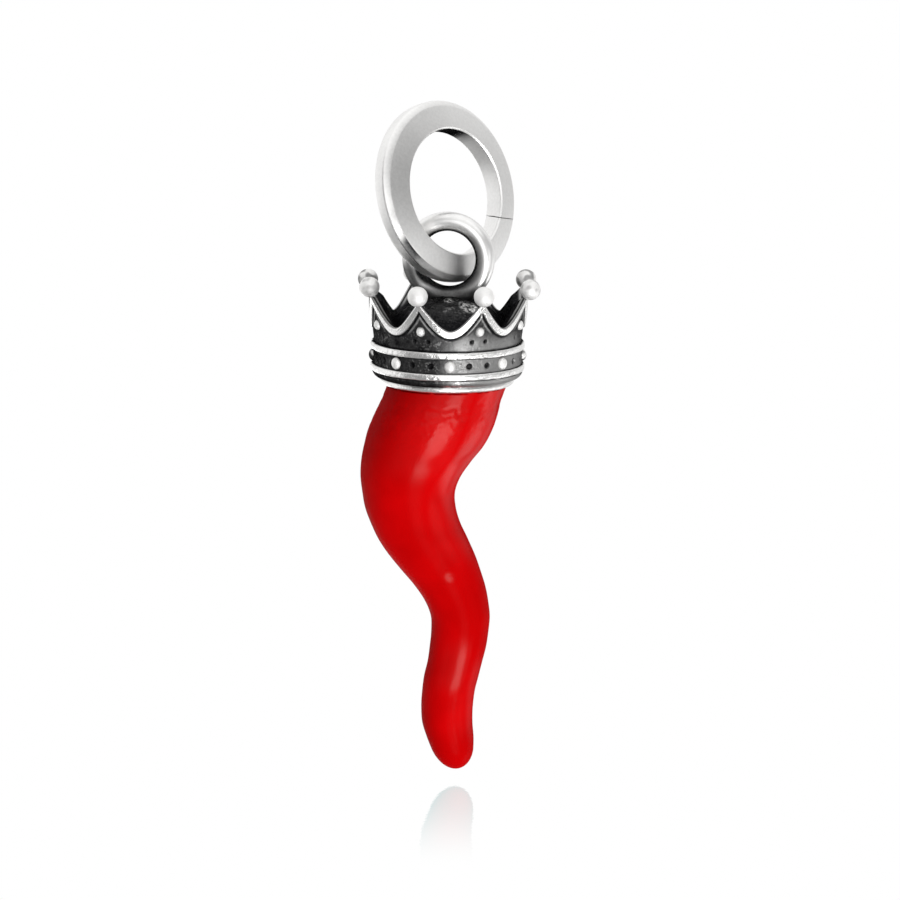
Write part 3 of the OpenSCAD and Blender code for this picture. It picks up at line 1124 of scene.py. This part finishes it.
@dataclass
class Beads(CapPiece):
    """The balls on the points and the studs on the band and the points, all cast with the cap."""

    band_stud_d: float = 0.84
    band_stud_h: float = 0.32
    point_stud_d: float = 0.68
    point_stud_h: float = 0.28
    stud_drop: float = 0.1
    # how deep a stud is sunk in the crown, and how much taller than wide it is
    stud_sink: float = 0.04
    stud_tall: float = 1.1
    ball_drop: float = 0.05
    # balls that were set a little off their places: outward and upward
    settled: dict = field(default_factory=lambda: {1: (0.12, -0.05), 6: (0.0, 0.12)})
    # share of blotchy black on single balls and on single studs, by their number
    ball_blotches: dict = field(default_factory=lambda: {1: 0.35, 2: 0.6, 5: 0.7, 6: 0.35})
    stud_blotches: dict = field(default_factory=lambda: {4: 0.95, 12: 0.95})

    def _balls(self) -> list[Bead]:
        """Lays out the balls on the points.

        Returns:
            The balls.
        """
        c = self.crown
        balls = []
        for i in range(c.points):
            out, up = self.settled.get(i, (0.0, -self.ball_drop))
            balls.append(Bead(c.ball_circle / 2 + out, c.ball_z + up, c.turn + (i + 0.5) * c.pitch,
                              (c.ball_d / 2,) * 3))
        return balls

    def _studs(self) -> list[Bead]:
        """Lays out the studs on the band and on the points, in turn.

        Returns:
            The studs.
        """
        c = self.crown
        point_z = c.valley_z - self.point_stud_d * self.stud_drop
        kinds = (
            (c.band_r, c.band_mid, 0.0, self.band_stud_d / 2, self.band_stud_h),
            (float(c.wall_r(np.array(point_z))), point_z, 0.5, self.point_stud_d / 2, self.point_stud_h),
        )
        return [Bead(out - self.stud_sink, up, c.turn + (i + step) * c.pitch,
                     (half, high + self.stud_sink, half * self.stud_tall))
                for i in range(c.points) for out, up, step, half, high in kinds]

    def _cast(self, beads: list[Bead], detail: int, rough: float, reach: float,
              blotches: dict[int, float]) -> bmesh.types.BMesh:
        """Makes the beads: bright, with painted shade where one meets the crown under it, and blotched
        black where told.

        Args:
            beads: The beads.
            detail: Subdivisions of each sphere.
            rough: Depth of the casting dents.
            reach: Distance below its middle at which a bead's painted shade is full.
            blotches: Share of black on some of the beads, by their number.

        Returns:
            The mesh.
        """
        bm = bmesh.new()
        centres = []
        for bead in beads:
            made = bmesh.ops.create_icosphere(bm, subdivisions=detail, radius=1.0)["verts"]
            for v, dent in zip(made, wobble(np.array([v.co for v in made]), 0.8, bead.angle)):
                v.co *= 1.0 + rough * dent
            turn, middle = about_z(bead.angle), Vector((0, -bead.out, bead.up))
            size = Matrix.Diagonal((*bead.half, 1.0))
            bmesh.ops.transform(bm, matrix=turn @ Matrix.Translation(middle) @ size, verts=made)
            centres.append(turn @ middle)
        places, middles = np.array([v.co for v in bm.verts]), np.array(centres)
        number = np.linalg.norm(places[:, None] - middles[None], axis=2).argmin(axis=1)
        low = (middles[number, 2] - places[:, 2]) / reach
        black = np.array([blotches.get(i, 0.0) for i in range(len(beads))])[number]
        # painted shade under each bead, where it meets the crown
        polish = 0.98 - 0.7 * smooth(0.8, 1.0, low)
        polish *= 1 - black * smooth(0.3 - black, 1.1 - black, wobble(places, 0.5, 3.0))
        layer = bm.verts.layers.float.new("polish")
        for v, shine in zip(bm.verts, polish):
            v[layer] = float(shine)
        return bm

    def build(self, finish: Silver) -> list[bpy.types.Object]:
        """Builds the balls and the studs.

        Args:
            finish: Finish of the beads.

        Returns:
            The two pieces.
        """
        material = finish.material()
        balls = self._cast(self._balls(), 5, 0.012, self.crown.ball_d / 2, self.ball_blotches)
        studs = self._cast(self._studs(), 4, 0.03, 0.6, self.stud_blotches)
        return [self.piece(balls, "cap_balls", material), self.piece(studs, "cap_studs", material)]


@dataclass
class Horn:
    """The red horn: a table of sections, as shares of its length and its width."""

    place: Place
    length: float = 29.5
    width: float = 9.3
    gap: float = 0.06
    head_d: float = 8.08
    head_z: float = 2.54
    # head in the socket: share of its radius, and drop under its top
    head_line: tuple = ((0.0, 0.0), (0.45, 0.0), (0.93, 0.0), (1.0, 0.3), (1.0, 1.27), (1.0, 2.6))
    tip_shift: float = 0.094
    tip_drop: float = 1.003
    tip_blunt: float = 0.47
    sides: int = 216
    fill: int = 12
    tip_rows: int = 16
    # shares of the length, and angles, between which the left side is clear
    left_high: tuple = (0.27, 0.18)
    left_low: tuple = ((0.62, 0.70), (0.76, 0.82))
    left_turn: tuple = ((-45.0, -20.0), (24.0, 34.0))
    # the same on the right side, whose low place is less clear
    right_high: tuple = (0.50, 0.40)
    right_low: tuple = ((0.68, 0.74), (0.88, 0.96))
    right_low_gloss: float = 0.45
    behind_gloss: float = 0.6
    # a small glossy place on the lower bend
    spot: tuple = (0.35, -2.6, -14.35)
    # drop, shift to the right, width, depth
    sections: tuple = (
        (0.000, 0.000, 0.962, 0.962),
        (0.040, -0.045, 0.963, 0.960),
        (0.080, -0.090, 0.992, 0.965),
        (0.120, -0.138, 1.000, 0.945),
        (0.160, -0.187, 0.965, 0.895),
        (0.200, -0.248, 0.886, 0.830),
        (0.240, -0.293, 0.808, 0.785),
        (0.280, -0.306, 0.752, 0.745),
        (0.320, -0.290, 0.735, 0.710),
        (0.360, -0.249, 0.727, 0.675),
        (0.400, -0.188, 0.727, 0.645),
        (0.440, -0.118, 0.700, 0.610),
        (0.480, -0.044, 0.645, 0.570),
        (0.520, 0.030, 0.577, 0.530),
        (0.560, 0.088, 0.517, 0.500),
        (0.600, 0.122, 0.480, 0.480),
        (0.640, 0.120, 0.466, 0.466),
        (0.680, 0.106, 0.458, 0.456),
        (0.720, 0.083, 0.444, 0.446),
        (0.760, 0.053, 0.444, 0.440),
        (0.800, 0.031, 0.427, 0.427),
        (0.840, 0.020, 0.420, 0.418),
        (0.880, 0.025, 0.411, 0.408),
        (0.920, 0.049, 0.382, 0.380),
        (0.950, 0.066, 0.343, 0.343),
    )

    def curve(self) -> np.ndarray:
        """Fills the table with smooth rows between its own and with a rounded tip.

        Returns:
            Drop, shift, width and depth of each row.
        """
        rows = np.array(self.sections)
        filled = []
        last = len(rows) - 1
        for i in range(last):
            a, b, c, d = rows[max(0, i - 1)], rows[i], rows[i + 1], rows[min(last, i + 2)]
            for t in np.arange(self.fill) / self.fill:
                bend = (2 * a - 5 * b + 4 * c - d) / 2 + t * (3 * b - a - 3 * c + d) / 2
                filled.append(b + t * ((c - a) / 2 + t * bend))
        end = rows[last]
        for t in np.linspace(0, 1, self.tip_rows):
            left = (1 - t) ** 2
            drop = self.tip_drop - (self.tip_drop - end[0]) * left
            shift = self.tip_shift - (self.tip_shift - end[1]) * left
            wide = (1 - t) * math.sqrt(1 + self.tip_blunt * (1 - left))
            filled.append(np.array([drop, shift, end[2] * wide, end[3] * wide]))
        return np.array(filled)

    def _gloss(self, turned: Turning) -> np.ndarray:
        """Works out the gloss, which is clear high on the left and right, behind and on the lower bends.

        Args:
            turned: The horn's turning, with its shape set.

        Returns:
            The gloss of each vertex.
        """
        angle, share = turned.angle, turned.height / -self.length
        left = np.maximum(smooth(*self.left_high, share), within(share, *self.left_low))
        left *= within(angle, *self.left_turn)
        lead = 32.0 - 80.0 * np.clip(share - 0.2, 0.0, 0.25)
        upper = smooth(*self.right_high, share) * (0.7 + 0.5 * smooth(0.27, 0.2, share))
        right = np.maximum(upper, self.right_low_gloss * within(share, *self.right_low))
        right *= smooth(-7.0, 7.0, angle - lead) * smooth(80.0, 60.0, angle)
        behind = self.behind_gloss * smooth(95.0, 125.0, np.abs(angle))
        spot = smooth(0.62, 0.2, np.linalg.norm(turned.points - np.array(self.spot), axis=1))
        return np.maximum.reduce([left, right, behind, spot])

    def build(self, finish: Enamel) -> bpy.types.Object:
        """Builds the horn.

        Args:
            finish: Finish of the horn.

        Returns:
            The piece.
        """
        body = self.curve()
        head = np.array(self.head_line)
        drop = np.concatenate([head[:, 1] - self.head_z, self.gap + body[:, 0] * self.length])
        shift = np.concatenate([np.zeros(len(head)), body[:, 1] * self.width])
        wide = np.concatenate([head[:, 0] * self.head_d, body[:, 2] * self.width])
        deep = np.concatenate([head[:, 0] * self.head_d, body[:, 3] * self.width])
        section = [(1.0, -float(z)) for z in drop]
        section[0] = (0.0, section[0][1])
        section[-1] = (0.0, section[-1][1])
        turned = Turning(section, self.sides)
        rows, a, z = turned.rows, np.radians(turned.angle), turned.height
        out = np.stack([np.sin(a), -np.cos(a), np.zeros_like(a)], axis=1)
        half = np.stack([wide[rows] / 2, deep[rows] / 2, np.zeros_like(a)], axis=1)
        turned.points = out * half + np.stack([shift[rows], np.zeros_like(a), z], axis=1)
        coarse, fine = wobble(turned.points, 1.9, 1.0), wobble(turned.points, 0.36, 6.0)
        dent = smooth(-0.3, -1.2, z) * (0.015 * coarse + 0.018 * smooth(-5.5, -1.5, z) * fine)
        turned.points += out * (dent * smooth(0.0, 1.0, wide[rows]))[:, None]
        return finish_piece(turned.write(self._gloss(turned)), "horn_body", self.place.crown(),
                            finish.material(), Body.PENDANT, "horn")


@dataclass
class Studio:
    """Pale floor, soft light and the photograph's viewpoint."""

    place: Place
    elevation: float = 10.5
    roll: float = 0.5
    pixel_mm: float = 0.075
    distance: float = 0.5
    sensor_mm: float = 36.0
    clip: tuple = (0.01, 50.0)
    foot_px: tuple = (447.3, 382.9)
    picture: int = 900
    floor_size: float = 6.0
    floor_drop: float = 0.8
    # the floor's mirror: its colour, the distances from the crown's axis at which it has gone and is full,
    # the same for how steeply it is seen, and the width and depth of its ripples
    mirror: tuple = (0.44, 0.25, 0.25)
    mirror_reach: tuple = (28.0, 3.0)
    mirror_facing: tuple = (0.5, 0.75)
    ripple: tuple = (0.2, 0.003)
    # radiance of the room, and azimuth, elevation, inner and outer half angle and radiance of its patches
    room: float = 0.36
    patches: tuple = (
        (180.0, 0.0, 40.0, 70.0, 0.85),
        (0.0, 90.0, 28.0, 64.0, 1.1),
        (-125.0, 38.0, 12.0, 42.0, 1.0),
        (180.0, 10.0, 9.0, 16.0, 1.05),
        (-98.0, -5.0, 14.0, 38.0, 1.05),
        (-45.0, -5.0, 18.0, 38.0, 0.28),
        (0.0, 12.0, 12.0, 30.0, 1.6),
        (92.0, 22.0, 16.0, 36.0, 0.58),
        (120.0, 32.0, 5.0, 20.0, 0.95),
        (66.0, 12.0, 6.0, 22.0, 0.35),
        (108.0, -14.0, 6.0, 20.0, 1.2),
        (100.0, -40.0, 5.0, 20.0, 2.2),
        (58.0, -6.0, 8.0, 22.0, 1.3),
        (50.0, 44.0, 8.0, 22.0, 1.2),
        (18.0, -30.0, 12.0, 20.0, 6.2),
        (205.0, -25.0, 8.0, 18.0, 2.6),
    )
    # name, azimuth, elevation, width and height in metres, and radiance of the soft boxes
    boxes: tuple = (
        ("soft_box", 18.0, -30.0, 0.36, 0.3, 13.5),
        ("back_fill", 180.0, 10.0, 0.3, 0.3, 9.0),
    )
    box_far: float = 0.6
    aim_drop: float = 5.0

    def camera(self) -> bpy.types.Object:
        """Places the camera so that the crown's foot falls on its own place in the picture.

        Returns:
            The camera.
        """
        tilt, roll = math.radians(self.elevation), math.radians(self.roll)
        up = Vector((0, math.sin(tilt), math.cos(tilt)))
        back = Vector((0, -math.cos(tilt), math.sin(tilt)))
        right = Vector((1, 0, 0)) * math.cos(roll) + up * math.sin(roll)
        over = up * math.cos(roll) - Vector((1, 0, 0)) * math.sin(roll)
        pixel = self.pixel_mm * MM
        centre = self.place.foot + right * (self.picture / 2 - self.foot_px[0]) * pixel
        centre -= over * (self.picture / 2 - self.foot_px[1]) * pixel
        data = bpy.data.cameras.new("viewpoint")
        data.sensor_width = self.sensor_mm
        data.lens = self.distance / (self.picture * pixel) * self.sensor_mm
        data.clip_start, data.clip_end = self.clip
        camera = bpy.data.objects.new("viewpoint", data)
        bpy.context.scene.collection.objects.link(camera)
        turn = Matrix((right, over, back)).transposed().to_4x4()
        camera.matrix_world = Matrix.Translation(centre + back * self.distance) @ turn
        bpy.context.scene.camera = camera
        return camera

    def floor_finish(self, height: float) -> bpy.types.Material:
        """Builds the floor's shader: white from above, with a mirror near the tip, and clear from below.

        The mirror fades with the distance from the crown's axis and in steep views.

        Args:
            height: Height of the floor in the frame.

        Returns:
            The material.
        """
        g = Graph("pale_floor")
        nodes, links = g.tree.nodes, g.tree.links
        reach = nodes.new("ShaderNodeVectorMath")
        reach.operation = "DISTANCE"
        links.new(g.coords, reach.inputs[0])
        reach.inputs[1].default_value = (self.place.foot.x, self.place.foot.y, height)
        near = g.ramp(reach.outputs["Value"], *(r * MM for r in self.mirror_reach))
        facing = nodes.new("ShaderNodeLayerWeight").outputs["Facing"]
        mask = g.combine("MULTIPLY", near, g.ramp(facing, *self.mirror_facing))
        glossy = nodes.new("ShaderNodeBsdfAnisotropic")
        glossy.inputs["Roughness"].default_value = 0.0
        ripple_w, ripple_depth = self.ripple
        links.new(g.bump(g.noise(ripple_w, 0.0), ripple_depth), glossy.inputs["Normal"])
        links.new(g.blend(mask, (0.0, 0.0, 0.0), self.mirror), glossy.inputs["Color"])
        glow = nodes.new("ShaderNodeEmission")
        links.new(g.blend(mask, (1.0, 1.0, 1.0), [1.0 - m for m in self.mirror]), glow.inputs["Color"])
        both = nodes.new("ShaderNodeAddShader")
        links.new(glossy.outputs["BSDF"], both.inputs[0])
        links.new(glow.outputs["Emission"], both.inputs[1])
        side = nodes.new("ShaderNodeMixShader")
        links.new(nodes.new("ShaderNodeNewGeometry").outputs["Backfacing"], side.inputs["Fac"])
        links.new(both.outputs["Shader"], side.inputs[1])
        links.new(nodes.new("ShaderNodeBsdfTransparent").outputs["BSDF"], side.inputs[2])
        links.new(side.outputs["Shader"], nodes["Material Output"].inputs["Surface"])
        return g.material

    def floor(self) -> bpy.types.Object:
        """Makes the white floor just under the tip, which only the camera sees.

        Returns:
            The floor.
        """
        height = self.place.foot.z - (Horn.length + Horn.gap + self.floor_drop) * MM
        bm = bmesh.new()
        bmesh.ops.create_grid(bm, x_segments=1, y_segments=1, size=self.floor_size)
        bm.transform(Matrix.Translation((0, 0, height)))
        mesh = bpy.data.meshes.new("floor")
        bm.to_mesh(mesh)
        bm.free()
        mesh.materials.append(self.floor_finish(height))
        floor = bpy.data.objects.new("floor", mesh)
        bpy.context.scene.collection.objects.link(floor)
        floor.visible_diffuse = False
        floor.visible_glossy = False
        floor.visible_shadow = False
        return floor

    def light(self, name: str, back: Vector, size: tuple[float, float],
              strength: float) -> bpy.types.Object:
        """Adds a soft box that shines on the crown and isn't seen in reflections.

        Args:
            name: Its name.
            back: Its direction from the crown.
            size: Its width and height in metres.
            strength: Its radiance, where 1 is as bright as a white surroundings.

        Returns:
            The light.
        """
        data = bpy.data.lights.new(name, "AREA")
        data.shape = "RECTANGLE"
        data.size, data.size_y = size
        data.energy = strength * size[0] * size[1] * math.pi
        light = bpy.data.objects.new(name, data)
        bpy.context.scene.collection.objects.link(light)
        middle = self.place.foot - Vector((0, 0, self.aim_drop * MM)) + back * self.box_far
        light.matrix_world = Matrix.Translation(middle) @ back.to_track_quat("Z", "Y").to_matrix().to_4x4()
        light.visible_camera = False
        light.visible_glossy = False
        return light

    def surroundings(self) -> None:
        """Sets a soft room with patches of light; the camera and the floor's mirror see it white."""
        world = bpy.data.worlds.new("soft_room")
        bpy.context.scene.world = world
        world.use_nodes = True
        nodes, links = world.node_tree.nodes, world.node_tree.links
        coords = nodes.new("ShaderNodeTexCoord").outputs["Generated"]
        last = None
        for azimuth, elevation, inner, outer, radiance in self.patches:
            dot = nodes.new("ShaderNodeVectorMath")
            dot.operation = "DOT_PRODUCT"
            links.new(coords, dot.inputs[0])
            dot.inputs[1].default_value = towards(azimuth, elevation)
            edge = nodes.new("ShaderNodeMapRange")
            edge.interpolation_type = "SMOOTHSTEP"
            links.new(dot.outputs["Value"], edge.inputs["Value"])
            edge.inputs["From Min"].default_value = math.cos(math.radians(outer))
            edge.inputs["From Max"].default_value = math.cos(math.radians(inner))
            mix = nodes.new("ShaderNodeMix")
            links.new(edge.outputs["Result"], mix.inputs["Factor"])
            mix.inputs["B"].default_value = radiance
            if last is None:
                mix.inputs["A"].default_value = self.room
            else:
                links.new(last, mix.inputs["A"])
            last = mix.outputs["Result"]
        path, seen = nodes.new("ShaderNodeLightPath"), nodes.new("ShaderNodeMath")
        seen.operation = "MAXIMUM"
        links.new(path.outputs["Is Camera Ray"], seen.inputs[0])
        links.new(path.outputs["Is Singular Ray"], seen.inputs[1])
        white = nodes.new("ShaderNodeMix")
        links.new(seen.outputs["Value"], white.inputs["Factor"])
        links.new(last, white.inputs["A"])
        white.inputs["B"].default_value = 1.0
        links.new(white.outputs["Result"], nodes["Background"].inputs["Strength"])
        nodes["Background"].inputs["Color"].default_value = (1.0, 1.0, 1.0, 1.0)

    def build(self) -> None:
        """Sets the whole studio up."""
        self.camera()
        self.floor()
        self.surroundings()
        for name, azimuth, elevation, wide, high, strength in self.boxes:
            self.light(name, towards(azimuth, elevation), (wide, high), strength)
        bpy.context.scene.view_settings.view_transform = "Standard"
        bpy.context.scene.view_settings.look = "None"


def main() -> None:
    """Builds every piece of the pendant and its studio."""
    logging.basicConfig(level=logging.INFO, format="%(name)s %(message)s")
    place = Place.read()
    crown = Crown()
    ring_silver = Silver("ring_silver", bright_rough=0.42, grain_mm=0.22, grain_depth=0.006, speckle=0.0,
                         mottle=0.03)
    wire_silver = Silver("wire_silver", bright_rough=0.34, grain_depth=0.004, speckle=0.03)
    cast_silver = Silver("cast_silver", bright_rough=0.24, grain_depth=0.035, speckle=0.22)
    bead_silver = Silver("bead_silver", bright=(0.96, 0.955, 0.945), bright_rough=0.66, speckle=0.0)
    Studio(place).build()
    CharmRing(place).build(ring_silver)
    WireLoop(place, crown).build(wire_silver)
    Collar(place, crown).build(cast_silver)
    CrownWall(place, crown).build(cast_silver)
    Dome(place, crown).build(cast_silver)
    Beads(place, crown).build(bead_silver)
    Horn(place).build(Enamel("horn_enamel"))
    # every solid now has its dressed pieces
    for node in frame["nodes"].values():
        node.hide_render = True


if __name__ == "__main__":
    main()
